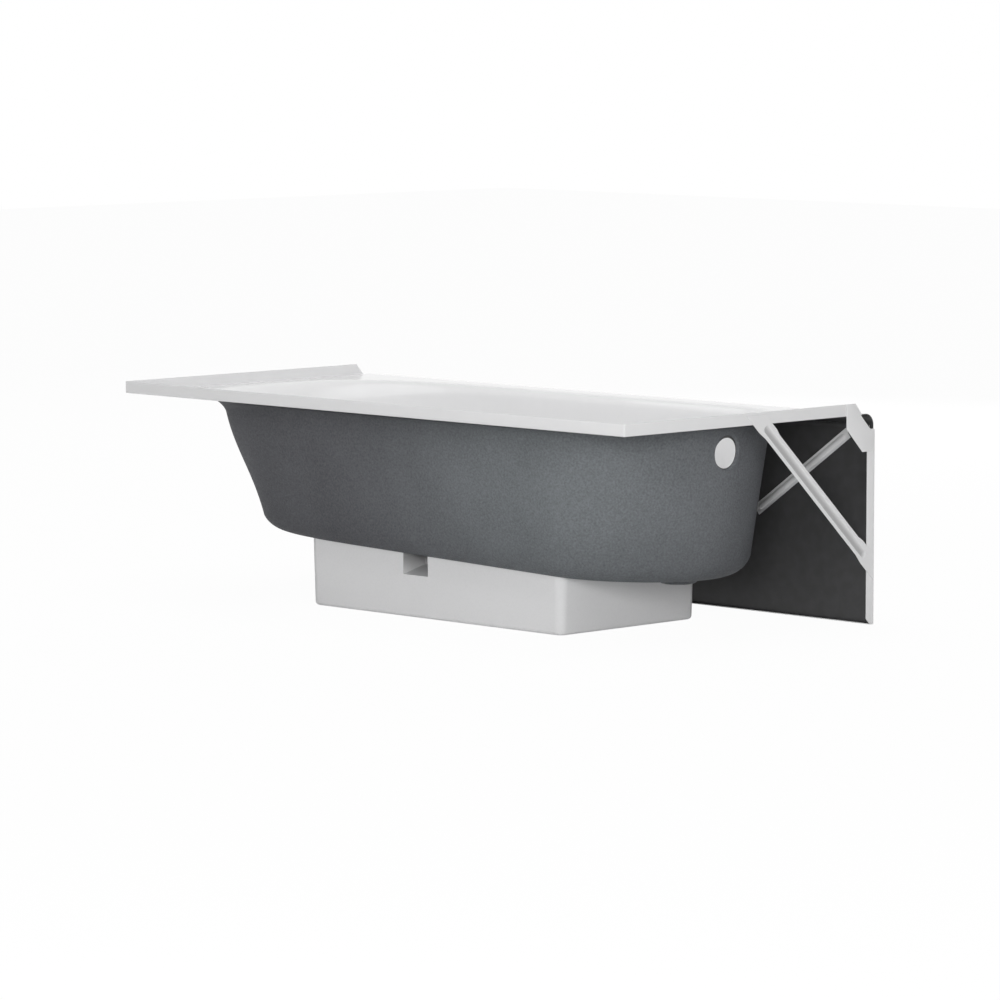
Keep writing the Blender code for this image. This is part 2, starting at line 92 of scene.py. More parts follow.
# A node socket that takes part in sums, so a formula reads as one.
class Term:
    def __init__(self, tree, socket):
        self.tree = tree
        self.socket = socket

    def join(self, operation, *others):
        node = self.tree.nodes.new("ShaderNodeMath")
        node.operation = operation
        for index, value in enumerate((self,) + others):
            if isinstance(value, Term):
                self.tree.links.new(value.socket, node.inputs[index])
            else:
                node.inputs[index].default_value = value
        return Term(self.tree, node.outputs[0])

    def __add__(self, other):
        return self.join("ADD", other)

    def __sub__(self, other):
        return self.join("SUBTRACT", other)

    def __rsub__(self, other):
        return self.join("MULTIPLY", -1.0).join("ADD", other)

    def __mul__(self, other):
        return self.join("MULTIPLY", other)

    def __truediv__(self, other):
        return self.join("DIVIDE", other)

    def __rtruediv__(self, other):
        return self.join("POWER", -1.0) * other

    def power(self, other):
        return self.join("POWER", other)

    def sine(self):
        return self.join("SINE")

    def cosine(self):
        return self.join("COSINE")

    def size(self):
        return self.join("ABSOLUTE")

    def sign(self):
        return self.join("SIGN")

    def between(self, low, high, lowTo, highTo):  # a clamped straight line from lowTo to highTo
        node = self.tree.nodes.new("ShaderNodeMapRange")
        self.tree.links.new(self.socket, node.inputs["Value"])
        for name, value in (("From Min", low), ("From Max", high), ("To Min", lowTo), ("To Max", highTo)):
            if isinstance(value, Term):
                self.tree.links.new(value.socket, node.inputs[name])
            else:
                node.inputs[name].default_value = value
        return Term(self.tree, node.outputs[0])


def newTree(name, settings):
    tree = bpy.data.node_groups.new(name, "GeometryNodeTree")
    tree.interface.new_socket("Geometry", in_out="INPUT", socket_type="NodeSocketGeometry")
    for key, value in settings.items():
        kind = "NodeSocketInt" if isinstance(value, int) else "NodeSocketFloat"
        tree.interface.new_socket(key, in_out="INPUT", socket_type=kind)
    tree.interface.new_socket("Finish", in_out="INPUT", socket_type="NodeSocketMaterial")
    tree.interface.new_socket("Geometry", in_out="OUTPUT", socket_type="NodeSocketGeometry")
    source = tree.nodes.new("NodeGroupInput")
    terms = {key: Term(tree, source.outputs[key]) for key in settings}
    return tree, source, terms


def endTree(tree, source, geometry):
    realize = tree.nodes.new("GeometryNodeRealizeInstances")
    paint = tree.nodes.new("GeometryNodeSetMaterial")
    result = tree.nodes.new("NodeGroupOutput")
    tree.links.new(geometry, realize.inputs[0])
    tree.links.new(realize.outputs[0], paint.inputs["Geometry"])
    tree.links.new(source.outputs["Finish"], paint.inputs["Material"])
    tree.links.new(paint.outputs[0], result.inputs[0])


# Runs a tree once and keeps the result as a plain mesh.
def runTree(name, tree, settings, finish):
    carrier = addObject(name + "Maker", bpy.data.meshes.new(name + "Seed"))
    step = carrier.modifiers.new("maker", "NODES")
    sockets = {item.name: item.identifier for item in tree.interface.items_tree if item.in_out == "INPUT"}
    step.node_group = tree
    for key, value in settings.items():
        step[sockets[key]] = value
    step[sockets["Finish"]] = finish
    carrier.update_tag()
    graph = bpy.context.evaluated_depsgraph_get()
    mesh = bpy.data.meshes.new_from_object(carrier.evaluated_get(graph))
    mesh.name = name
    bpy.data.objects.remove(carrier, do_unlink=True)
    return mesh


# An object at the origin, from a mesh or a light or a camera.
def addObject(name, data):
    item = bpy.data.objects.new(name, data)
    bpy.context.collection.objects.link(item)
    return item


# An object from a finished bmesh, with every face in the first slot and its finishes in slot order.
def addDrawn(name, bm, *finishes):
    mesh = bpy.data.meshes.new(name)
    bm.to_mesh(mesh)
    bm.free()
    mesh.materials.clear()  # also takes the faces of a grown skin back to the first slot
    for finish in finishes:
        mesh.materials.append(finish)
    return addObject(name, mesh)


# Applies the modifiers of an object and leaves a plain mesh behind.
def settle(item):
    graph = bpy.context.evaluated_depsgraph_get()
    mesh = bpy.data.meshes.new_from_object(item.evaluated_get(graph))
    item.modifiers.clear()
    item.data = mesh
    mesh.shade_smooth()
    mesh.set_sharp_from_angle(angle=math.radians(bath["smoothAngle"]))
    return item


def thicken(item, thickness, inner=0):  # inner is the material slot of the side that the wall grows to
    solid = item.modifiers.new("thickness", "SOLIDIFY")
    solid.thickness = thickness
    solid.offset = -1.0
    solid.use_even_offset = True
    solid.use_quality_normals = True
    solid.material_offset = inner
    solid.material_offset_rim = 0


def soften(item):
    bevel = item.modifiers.new("soft edges", "BEVEL")
    bevel.width = bath["edgeWidth"]
    bevel.segments = bath["edgeSegments"]
    bevel.limit_method = "ANGLE"
    bevel.angle_limit = math.radians(bath["edgeAngle"])
    bevel.harden_normals = False


def cutAway(item, cutter):
    step = item.modifiers.new("cut", "BOOLEAN")
    step.operation = "DIFFERENCE"
    step.solver = "EXACT"
    step.object = cutter
    settle(item)
    bpy.data.objects.remove(cutter, do_unlink=True)


def addTube(name, centre, axis, radii, length, segments, finish):
    bm = bmesh.new()
    bmesh.ops.create_cone(bm, cap_ends=True, segments=segments, radius1=radii[0], radius2=radii[1],
                          depth=length)
    turn = Vector((0, 0, 1)).rotation_difference(Vector(axis)).to_matrix()
    bmesh.ops.rotate(bm, verts=bm.verts, matrix=turn)
    bmesh.ops.translate(bm, verts=bm.verts, vec=centre)
    return addDrawn(name, bm, finish)


# Turns all faces the same way, so that the widest of them looks in the direction given.
def aimFaces(bm, direction):
    bmesh.ops.recalc_face_normals(bm, faces=bm.faces)
    target = Vector(direction)
    widest = max(bm.faces, key=lambda face: abs(face.normal.dot(target)) * face.calc_area())
    if widest.normal.dot(target) < 0:
        bmesh.ops.reverse_faces(bm, faces=bm.faces)


def bridge(bm, first, second, closed=True):
    count = len(first)
    for index in range(count if closed else count - 1):
        after = (index + 1) % count
        bm.faces.new((first[index], first[after], second[after], second[index]))


def ringEdges(bm, ring):
    return [bm.edges.get((vert, ring[(index + 1) % len(ring)])) for index, vert in enumerate(ring)]


# The angles of a quarter turn, in equal steps.
def quarterTurn(steps):
    return [math.pi / 2 * index / steps for index in range(steps + 1)]


# A row of points a little outside a ring that runs counter-clockwise.
def ringOutside(bm, ring, distance):
    row = []
    for index, vert in enumerate(ring):
        run = ring[(index + 1) % len(ring)].co - ring[index - 1].co
        away = Vector((run.y, -run.x, 0)).normalized()
        row.append(bm.verts.new(vert.co + away * distance))
    return row


# A material with its node tree and its main shader.
def shade(name):
    finish = bpy.data.materials.new(name)
    finish.use_nodes = True
    return finish, finish.node_tree, finish.node_tree.nodes["Principled BSDF"]


def objectNoise(tree, scale, detail, roughness=0.5):
    place = tree.nodes.new("ShaderNodeTexCoord")
    noise = tree.nodes.new("ShaderNodeTexNoise")
    noise.inputs["Scale"].default_value = scale
    noise.inputs["Detail"].default_value = detail
    noise.inputs["Roughness"].default_value = roughness
    tree.links.new(place.outputs["Object"], noise.inputs["Vector"])
    return noise


def addBump(tree, shader, height, strength, distance):
    bump = tree.nodes.new("ShaderNodeBump")
    bump.inputs["Strength"].default_value = strength
    bump.inputs["Distance"].default_value = distance
    tree.links.new(height, bump.inputs["Height"])
    tree.links.new(bump.outputs[0], shader.inputs["Normal"])


# Colours the shader from one tone to the other over a range of the pattern's values.
def tint(tree, shader, source, tones, reach):
    ramp = tree.nodes.new("ShaderNodeValToRGB")
    for stop, tone, position in zip(ramp.color_ramp.elements, tones, reach):
        stop.position = position
        stop.color = (*tone, 1)
    tree.links.new(source, ramp.inputs[0])
    tree.links.new(ramp.outputs[0], shader.inputs["Base Color"])


# Multiplies the colour that reaches the shader by what a socket gives.
def retone(tree, shader, operation, factor, port):
    paint = shader.inputs["Base Color"].links[0].from_socket
    toned = tree.nodes.new("ShaderNodeVectorMath")
    toned.operation = operation
    tree.links.new(paint, toned.inputs[0])
    tree.links.new(factor, toned.inputs[port])
    tree.links.new(toned.outputs[0], shader.inputs["Base Color"])


# The last tone is the painted shade at the bottom of a strap's pressed groove.
enamelLook = {"dark": (0.855, 0.855, 0.86), "pale": (0.865, 0.865, 0.87), "toneReach": (0.35, 0.65),
              "roughness": 0.06, "peel": 0.0006, "peelDepth": 0.001, "peelScale": 25.0, "peelDetail": 2.0,
              "grooveShadeTone": 0.55}


def makeEnamel(name, look):
    finish, tree, shader = shade(name)
    noise = objectNoise(tree, look["peelScale"], look["peelDetail"])
    tint(tree, shader, noise.outputs["Fac"], (look["dark"], look["pale"]), look["toneReach"])
    shader.inputs["Roughness"].default_value = look["roughness"]
    addBump(tree, shader, noise.outputs["Fac"], look["peel"], look["peelDepth"])
    return finish


# Painted shade: the straps' enamel is darker in the pressed groove, by the groove's depth, where shade falls
# in it.
def paintGrooveShade(finish, tone):
    tree = finish.node_tree
    depth = tree.nodes.new("ShaderNodeAttribute")
    depth.attribute_name = "groove"
    share = Term(tree, depth.outputs["Fac"]).between(0.0, 1.0, 1.0, tone)
    retone(tree, tree.nodes["Principled BSDF"], "SCALE", share.socket, "Scale")


groundLook = {"dark": (0.051, 0.051, 0.052), "pale": (0.061, 0.061, 0.063), "toneReach": (0.35, 0.65),
              "roughness": 0.5, "gloss": 0.5, "scale": 40.0, "detail": 4.0, "bump": 0.05, "bumpDepth": 0.001}


def makeGround(name, look):
    finish, tree, shader = shade(name)
    noise = objectNoise(tree, look["scale"], look["detail"])
    tint(tree, shader, noise.outputs["Fac"], (look["dark"], look["pale"]), look["toneReach"])
    shader.inputs["Roughness"].default_value = look["roughness"]
    shader.inputs["Specular IOR Level"].default_value = look["gloss"]
    addBump(tree, shader, noise.outputs["Fac"], look["bump"], look["bumpDepth"])
    return finish


# The height tones are (share of the height from low to high, tone) pairs that paint shade under the deck at
# the top and make the shell darker towards the bottom; the highlight keys place a painted highlight.
compositeLook = {"dark": (0.090, 0.092, 0.099), "pale": (0.153, 0.156, 0.168), "toneReach": (0.3, 0.7),
                 "roughness": 0.6, "gloss": 0.05, "grain": 230.0, "grainDetail": 3.0, "grainRoughness": 0.6,
                 "bump": 1.0, "bumpDepth": 0.0015, "blotch": 7.0, "blotchDetail": 2.0, "blotchShare": 0.25,
                 "highlightCentre": (-0.45, 0.30, 0.30), "highlightReach": 0.7, "highlightTone": (1.56, 1.65, 1.61),
                 "low": 0.09, "high": 0.44, "brightest": 2.0,
                 "heightShadeTones": ((0.0, 0.74), (0.2, 0.90), (0.5, 1.06), (0.8, 1.04), (0.92, 0.90),
                                 (1.0, 0.66))}


# A sprayed grain with broad blotches, with a painted highlight round one place, and a tone for each height
# that paints shade under the deck and darkens the bottom.
def makeComposite(name, look):
    finish, tree, shader = shade(name)
    grain = objectNoise(tree, look["grain"], look["grainDetail"], look["grainRoughness"])
    blotch = objectNoise(tree, look["blotch"], look["blotchDetail"])
    both = Term(tree, blotch.outputs["Fac"]) * look["blotchShare"]
    both = both + Term(tree, grain.outputs["Fac"]) * (1 - look["blotchShare"])
    tint(tree, shader, both.socket, (look["dark"], look["pale"]), look["toneReach"])
    # Painted highlight: the shell is paler round one place on its back, near the drain end.
    place = tree.nodes.new("ShaderNodeTexCoord")
    away = tree.nodes.new("ShaderNodeVectorMath")
    away.operation = "DISTANCE"
    away.inputs[1].default_value = look["highlightCentre"]
    tree.links.new(place.outputs["Object"], away.inputs[0])
    nearness = tree.nodes.new("ShaderNodeMapRange")
    nearness.interpolation_type = "SMOOTHSTEP"
    nearness.inputs["From Max"].default_value = look["highlightReach"]
    nearness.inputs["To Min"].default_value = 1.0
    nearness.inputs["To Max"].default_value = 0.0
    tree.links.new(away.outputs["Value"], nearness.inputs["Value"])
    highlightMix = tree.nodes.new("ShaderNodeMix")
    highlightMix.data_type = "VECTOR"
    highlightPorts = {port.identifier: port for port in highlightMix.inputs}
    highlightPorts["A_Vector"].default_value = (1, 1, 1)
    highlightPorts["B_Vector"].default_value = look["highlightTone"]
    tree.links.new(nearness.outputs[0], highlightPorts["Factor_Float"])
    parts = tree.nodes.new("ShaderNodeSeparateXYZ")
    tree.links.new(place.outputs["Object"], parts.inputs[0])
    # Painted shade by height: darker under the deck at the top, and darker towards the bottom.
    height = Term(tree, parts.outputs["Z"]).between(look["low"], look["high"], 0.0, 1.0)
    tones = tree.nodes.new("ShaderNodeFloatCurve")
    curve = tones.mapping.curves[0]
    tones.mapping.clip_max_y = look["brightest"]
    for point, (share, tone) in zip(curve.points, (look["heightShadeTones"][0], look["heightShadeTones"][-1])):
        point.location = (share, tone)
    for share, tone in look["heightShadeTones"][1:-1]:
        curve.points.new(share, tone)
    tones.mapping.update()
    tree.links.new(height.socket, tones.inputs["Value"])
    highlightOut = {port.identifier: port for port in highlightMix.outputs}["Result_Vector"]
    retone(tree, shader, "MULTIPLY", highlightOut, 1)
    retone(tree, shader, "SCALE", tones.outputs[0], "Scale")
    shader.inputs["Roughness"].default_value = look["roughness"]
    shader.inputs["Specular IOR Level"].default_value = look["gloss"]
    addBump(tree, shader, grain.outputs["Fac"], look["bump"], look["bumpDepth"])
    return finish


# The pocket keys set the painted shade inside the foam's pocket.
foamLook = {"dark": (0.88, 0.88, 0.885), "pale": (0.90, 0.90, 0.905), "toneReach": (0.3, 0.8),
            "roughness": 0.9, "beads": 240.0, "bump": 0.03, "bumpDepth": 0.001,
            "pocketShadeLow": 0.95, "pocketShadeHigh": 0.47, "pocketShadeBack": 0.85, "pocketFade": 0.035,
            "pocketEdge": 0.0002}


def makeFoam(name, look):
    finish, tree, shader = shade(name)
    place = tree.nodes.new("ShaderNodeTexCoord")
    beads = tree.nodes.new("ShaderNodeTexVoronoi")
    beads.inputs["Scale"].default_value = look["beads"]
    tree.links.new(place.outputs["Object"], beads.inputs["Vector"])
    tint(tree, shader, beads.outputs["Distance"], (look["pale"], look["dark"]), look["toneReach"])
    shader.inputs["Roughness"].default_value = look["roughness"]
    addBump(tree, shader, beads.outputs["Distance"], -look["bump"], look["bumpDepth"])
    return finish


# Painted shade: the pocket's walls are darker towards their top and their back, where the shell above shades
# them.
def paintPocketShade(finish, look, block):
    tree = finish.node_tree
    place = tree.nodes.new("ShaderNodeTexCoord")
    parts = tree.nodes.new("ShaderNodeSeparateXYZ")
    tree.links.new(place.outputs["Object"], parts.inputs[0])
    x, y, z = [Term(tree, port) for port in parts.outputs]
    fade = look["pocketEdge"]
    half = block["pocketWidth"] / 2 + fade
    mouth = block["backY"] + block["draft"] * (block["pocketSill"] - block["foot"]) - fade
    back = block["backY"] - block["pocketDepth"] - fade
    sill = block["pocketSill"] - fade
    inside = (x - block["pocketX"]).size().between(half, half + fade, 1.0, 0.0)
    inside = inside * y.between(mouth - fade, mouth, 1.0, 0.0) * y.between(back - fade, back, 0.0, 1.0)
    inside = inside * z.between(sill - fade, sill, 0.0, 1.0)
    tone = z.between(sill, sill + look["pocketFade"], look["pocketShadeLow"], look["pocketShadeHigh"])
    tone = tone * y.between(back, mouth, look["pocketShadeBack"], 1.0)
    share = 1.0 - inside * (1.0 - tone)
    retone(tree, tree.nodes["Principled BSDF"], "SCALE", share.socket, "Scale")


enamel = makeEnamel("glossEnamel", enamelLook)
ground = makeGround("groundCoat", groundLook)
composite = makeComposite("sprayedComposite", compositeLook)
# The straps get a copy of the enamel with painted shade in their grooves.
strapEnamelGrooveShade = makeEnamel("strapEnamelGrooveShade", enamelLook)
paintGrooveShade(strapEnamelGrooveShade, enamelLook["grooveShadeTone"])
print("stage: materials made")

# The well's skin follows a rule, at any distance outside the enamelled face.
wellSettings = dict(well)
wellSettings["deck"] = bath["deck"]
wellSettings["offset"] = 0.0
wellSettings["around"] = 2 * wellRows["sideSteps"] + wellRows["headTurns"] + wellRows["drainTurns"]
wellSettings["rows"] = wellRows["rim"] + wellRows["wall"] + wellRows["floor"]


def makeWellTree():
    tree, source, given = newTree("wellSkin", wellSettings)
    grid = tree.nodes.new("GeometryNodeMeshGrid")
    grid.inputs["Size X"].default_value = 1.0
    grid.inputs["Size Y"].default_value = 1.0
    tree.links.new((given["around"] + 1).socket, grid.inputs["Vertices X"])
    tree.links.new((given["rows"] + 1).socket, grid.inputs["Vertices Y"])
    here = tree.nodes.new("GeometryNodeInputPosition")
    parts = tree.nodes.new("ShaderNodeSeparateXYZ")
    tree.links.new(here.outputs[0], parts.inputs[0])
    u = Term(tree, parts.outputs[0]) + 0.5
    v = Term(tree, parts.outputs[1]) + 0.5
    around = wellSettings["around"]
    rows = wellSettings["rows"]
    headDone = wellRows["headTurns"] / around
    backDone = headDone + wellRows["sideSteps"] / around
    drainDone = backDone + wellRows["drainTurns"] / around
    rimDone = wellRows["rim"] / rows
    wallDone = rimDone + wellRows["wall"] / rows
    quarter = math.pi / 2
    lean = quarter - well["wallTurn"]
    headTurn = u.between(0.0, headDone, -quarter, quarter)
    backShare = u.between(headDone, backDone, 0.0, 1.0)
    drainTurn = u.between(backDone, drainDone, quarter, -quarter)
    frontShare = u.between(drainDone, 1.0, 0.0, 1.0)
    rimTurn = v.between(0.0, rimDone, 0.0, given["wallTurn"])
    wallShare = v.between(rimDone, wallDone, 0.0, 1.0)
    edgeTurn = v.between(wallDone, 1.0, lean, quarter)
    headShare = 1 - headTurn.sine().size().power(given["headRimPower"])
    rim = given["rim"] + (given["headRim"] - given["rim"]) * headShare
    offset = given["offset"]
    edge = given["floorEdge"]
    sinTurn = given["wallTurn"].sine()
    cosTurn = given["wallTurn"].cosine()
    sinLean = math.sin(lean)
    cosLean = math.cos(lean)
    wallFoot = given["deep"] - edge * (1 - sinLean)
    depth = rim * (1 - rimTurn.cosine()) + (wallFoot - rim * (1 - cosTurn)) * wallShare
    depth = depth + edge * (edgeTurn.sine() - sinLean)
    outward = rim * sinTurn - (rim - offset) * rimTurn.sine()
    outward = outward + (edge + offset) * (edgeTurn.cosine() - cosLean)
    drop = offset * rimTurn.cosine() + offset * (edgeTurn.sine() - sinLean)
    down = depth / given["deep"]
    half = given["halfWidth"] - given["sideDraft"] * depth + outward
    wave = given["headWave"] * (down * (2 * math.pi)).sine()
    headEnd = given["headReach"] - given["headLean"] * (down - wave) + outward
    drainEnd = given["drainDraft"] * depth - given["drainReach"] - outward
    headRadius = given["headLength"] + outward
    drainRadius = given["drainLength"] + outward
    headCentre = headEnd - headRadius
    drainCentre = drainEnd + drainRadius
    headPower = 2 / (given["headPowerTop"] + (given["headPowerFloor"] - given["headPowerTop"]) * down)
    drainPower = 2 / given["drainPower"]
    # A share is taken off, so that a cosine is exactly nothing where an end meets a side.
    headCos = (headTurn.cosine() - wellRows["seamShare"]).join("MAXIMUM", 0.0)
    drainCos = (drainTurn.cosine() - wellRows["seamShare"]).join("MAXIMUM", 0.0)
    headSin = headTurn.sine()
    drainSin = drainTurn.sine()
    x = headCentre + headRadius * headCos.power(headPower)
    x = x + (drainCentre - headCentre) * (backShare - frontShare)
    x = x - drainRadius * drainCos.power(drainPower)
    across = headSin.sign() * headSin.size().power(headPower)
    across = across + drainSin.sign() * drainSin.size().power(drainPower) - 1.0
    y = given["centreY"] + half * across
    z = given["deck"] - depth - drop + given["pitch"] * (x - given["drainX"]) * down
    place = tree.nodes.new("ShaderNodeCombineXYZ")
    for index, term in enumerate((x, y, z)):
        tree.links.new(term.socket, place.inputs[index])
    move = tree.nodes.new("GeometryNodeSetPosition")
    tree.links.new(grid.outputs["Mesh"], move.inputs["Geometry"])
    tree.links.new(place.outputs[0], move.inputs["Position"])
    weld = tree.nodes.new("GeometryNodeMergeByDistance")
    weld.inputs["Distance"].default_value = wellRows["weld"]
    tree.links.new(move.outputs[0], weld.inputs["Geometry"])
    endTree(tree, source, weld.outputs[0])
    return tree


wellTree = makeWellTree()


# Returns a bmesh of the skin with its top ring and its floor ring in order, starting at the same place.
def wellSkin(offset, finish):
    settings = dict(wellSettings, offset=offset)
    mesh = runTree("wellSkin", wellTree, settings, finish)
    bm = bmesh.new()
    bm.from_mesh(mesh)
    bpy.data.meshes.remove(mesh)
    loops = []
    left = {edge for edge in bm.edges if edge.is_boundary}
    while left:
        edge = left.pop()
        ring = [edge.verts[0], edge.verts[1]]
        while True:
            onward = [item for item in ring[-1].link_edges if item in left]
            if not onward:
                break
            left.discard(onward[0])
            after = onward[0].other_vert(ring[-1])
            if after is ring[0]:
                break
            ring.append(after)
        loops.append(ring)
    loops.sort(key=lambda ring: -sum(vert.co.z for vert in ring) / len(ring))
    return bm, sortedRing(loops[0]), sortedRing(loops[-1])


# Starts a ring at the middle of the head end and runs it counter-clockwise as seen from above.
def sortedRing(ring):
    middle = Vector((sum(vert.co.x for vert in ring) / len(ring), well["centreY"], 0))
    reaches = [vert.co.x - wellRows["startBias"] * abs(vert.co.y - middle.y) for vert in ring]
    first = reaches.index(max(reaches))
    ring = ring[first:] + ring[:first]
    turn = 0.0
    for index, vert in enumerate(ring):
        here = vert.co - middle
        after = ring[(index + 1) % len(ring)].co - middle
        turn += here.x * after.y - after.x * here.y
    return ring if turn > 0 else [ring[0]] + ring[:0:-1]


def smoothShare(value):
    return value * value * (3 - 2 * value)


recessRows = {"floorShares": (0.04, 0.12, 0.28, 0.5, 0.72, 0.9), "spread": 0.004, "coneSteps": 10,
              "lip": 0.001}


# The floor runs in to the drain, dips into a shallow recess and ends at the hole.
def addFloor(bm, floorRing, offset, holeRadius):
    centre = Vector((well["drainX"], well["centreY"], 0))
    mouthRadius = drain["recess"] + recessRows["spread"]
    seatZ = floorAtDrain - drain["depth"] - offset
    below = floorRing
    starts = [vert.co.copy() for vert in floorRing]
    aways = [(Vector((start.x, start.y, 0)) - centre).normalized() for start in starts]
    mouths = []
    for away in aways:
        mouth = centre + away * mouthRadius
        mouth.z = floorAtDrain - offset + well["pitch"] * (mouth.x - well["drainX"])
        mouths.append(mouth)
    for share in recessRows["floorShares"] + (1.0,):
        row = [bm.verts.new(start.lerp(mouth, share)) for start, mouth in zip(starts, mouths)]
        bridge(bm, below, row)
        below = row
    steps = recessRows["coneSteps"]
    for index in range(1, steps + 1):
        share = index / steps
        radius = mouthRadius + (drain["seat"] - mouthRadius) * share
        row = []
        for away, mouth in zip(aways, mouths):
            place = centre + away * radius
            place.z = mouth.z + (seatZ - mouth.z) * smoothShare(share)
            row.append(bm.verts.new(place))
        bridge(bm, below, row)
        below = row
    for radius in (holeRadius + recessRows["lip"], holeRadius):
        row = []
        for away in aways:
            place = centre + away * radius
            place.z = seatZ
            row.append(bm.verts.new(place))
        bridge(bm, below, row)
        below = row


# A round cutter through the drain end's wall. The first radius is its outside end's.
def overflowCutter(radii, finish):
    wallX = -well["drainReach"] + well["drainDraft"] * (bath["deck"] - overflow["height"])
    return addTube("overflowCutter", (wallX, well["centreY"], overflow["height"]), (1, 0, 0), radii,
                   overflow["reach"], overflow["segments"], finish)


# The bath pressing has the well, deck, tile flange and rolled front rim in one sheet.
pressing = {"cove": 0.001, "corner": 0.0038, "frontSetback": 0.0423, "tipSetback": 0.0634,
            "rollRadius": 0.025, "rollLip": 0.0074, "rollEnd": 0.0055, "coveSteps": 4, "cornerSteps": 6,
            "rollSteps": 18, "deckBuffer": 0.003, "outlineBuffer": 0.0005, "sharpestInset": 0.2,
            "flangeMiddle": 0.5}


# The flange's foot on the deck, as points with the way that each looks out.
def flangePath():
    inner = bath["sheet"] + pressing["cove"]
    endX = bath["halfLength"] - inner
    backY = bath["halfWidth"] - inner
    frontY = -bath["halfWidth"] + pressing["frontSetback"]
    radius = pressing["corner"] - inner
    path = [(Vector((-endX, frontY, bath["deck"])), Vector((-1, 0, 0)))]
    for side in (-1, 1):
        centre = Vector((side * (endX - radius), backY - radius, bath["deck"]))
        turns = quarterTurn(pressing["cornerSteps"])
        if side > 0:
            turns.reverse()
        for turn in turns:
            outward = Vector((side * math.cos(turn), math.sin(turn), 0))
            path.append((centre + outward * radius, outward))
    path.append((Vector((endX, frontY, bath["deck"])), Vector((1, 0, 0))))
    return path


def buildPressing():
    bm, top, floor = wellSkin(0.0, enamel)
    addFloor(bm, floor, 0.0, drain["hole"])
    rim = ringOutside(bm, top, pressing["deckBuffer"])
    bridge(bm, top, rim)
    path = flangePath()
    flangeStart = [bm.verts.new(point) for point, away in path]
    rollY = -bath["halfWidth"] + pressing["rollRadius"]
    rollX = bath["halfLength"] - pressing["rollEnd"]
    frontY = -bath["halfWidth"] + pressing["frontSetback"]
    rollStart = [bm.verts.new((side * rollX, rollY, bath["deck"])) for side in (-1, 1)]
    steps = [bm.verts.new((side * rollX, frontY, bath["deck"])) for side in (-1, 1)]
    outline = flangeStart + [steps[1], rollStart[1], rollStart[0], steps[0]]
    inset = []
    size = len(outline)
    for index, vert in enumerate(outline):
        before = (vert.co - outline[index - 1].co).normalized()
        after = (outline[(index + 1) % size].co - vert.co).normalized()
        sides = Vector((before.y, -before.x, 0)) + Vector((after.y, -after.x, 0))
        sides = sides / max(sides.length_squared / 2, pressing["sharpestInset"])
        inset.append(bm.verts.new(vert.co + sides * pressing["outlineBuffer"]))
    bridge(bm, outline, inset)
    bmesh.ops.triangle_fill(bm, use_beauty=True, edges=ringEdges(bm, inset) + ringEdges(bm, rim))
    lean = (pressing["tipSetback"] - pressing["frontSetback"]) / bath["flangeRise"]
    profile = []
    for angle in quarterTurn(pressing["coveSteps"])[1:]:
        profile.append((pressing["cove"] * math.sin(angle), pressing["cove"] * (1 - math.cos(angle))))
    for share in (pressing["flangeMiddle"], 1.0):
        profile.append((pressing["cove"], bath["flangeRise"] * share))
    below = flangeStart
    for outward, rise in profile:
        row = []
        for index, (point, away) in enumerate(path):
            place = point + away * outward + Vector((0, 0, rise))
            if index in (0, len(path) - 1):
                place.y += rise * lean
            row.append(bm.verts.new(place))
        bridge(bm, below, row, False)
        below = row
    below = rollStart
    profile = []
    radius = pressing["rollRadius"]
    for angle in quarterTurn(pressing["rollSteps"])[1:]:
        profile.append((radius * math.sin(angle), radius * (1 - math.cos(angle))))
    profile.append((radius, radius + pressing["rollLip"]))
    for outward, fall in profile:
        row = [bm.verts.new((side * rollX, rollY - outward, bath["deck"] - fall)) for side in (-1, 1)]
        bridge(bm, below, row, False)
        below = row
    aimFaces(bm, (0, 0, 1))
    item = addDrawn("bathPressing", bm, enamel, ground)
    thicken(item, bath["sheet"], 1)
    settle(item)
    cutAway(item, overflowCutter((overflow["radius"], overflow["radius"]), enamel))
    return item


bathPressing = buildPressing()
print("stage: pressing built", len(bathPressing.data.polygons))

# Where the white enamel of the flange ends and where the roll's dark ends begin.
paintLines = {"aboveDeck": 0.0012, "fromOutside": 0.0022, "flangeFront": -0.34, "rollEndX": 0.75,
              "rollBack": -0.33, "facing": 0.9}


# The outer faces of the flange are white and the undersides are dark, as the photo shows.
def paintPressing(item):
    for face in item.data.polygons:
        middle = face.center
        atEnd = abs(middle.x) > bath["halfLength"] - paintLines["fromOutside"]
        onFlange = middle.z > bath["deck"] + paintLines["aboveDeck"]
        onFlange = onFlange or atEnd and middle.y > paintLines["flangeFront"]
        onFlange = onFlange or middle.y > bath["halfWidth"] - paintLines["fromOutside"]
        onRollEnd = abs(face.normal.x) > paintLines["facing"] and abs(middle.x) > paintLines["rollEndX"]
        if onFlange:
            face.material_index = 0
        elif onRollEnd and middle.y < paintLines["rollBack"]:
            face.material_index = 1


paintPressing(bathPressing)

backing = {"collar": 0.006}


# The composite backing covers the well's outside and turns out under the deck in a narrow collar.
def buildBacking():
    bm, top, floor = wellSkin(backingOffset, composite)
    addFloor(bm, floor, backingOffset, drain["backingHole"])
    bridge(bm, top, ringOutside(bm, top, backing["collar"]))
    aimFaces(bm, (0, 0, 1))
    item = addDrawn("compositeBacking", bm, composite)
    thicken(item, bath["backing"])
    settle(item)
    half = overflow["reach"] / 2
    radii = [overflow["backingRadius"] + overflow["backingFlare"] * (side * half - backingOffset)
             for side in (1, -1)]
    cutAway(item, overflowCutter(radii, composite))
    return item


compositeBacking = buildBacking()
print("stage: backing built", len(compositeBacking.data.polygons))

# The apron has a flat front, end returns, a foot return and a joggled top edge.
apron = {"endReturn": 0.0248, "bend": 0.003, "footReturn": 0.0118, "footChamfer": 0.013, "slit": 0.002,
         "tongue": 0.007, "setback": 0.0023, "joggle": 0.003, "tongueEnd": 0.012, "bendSteps": 8}
apronTop = bath["deck"] - pressing["rollRadius"] - pressing["rollLip"] - bath["gap"]


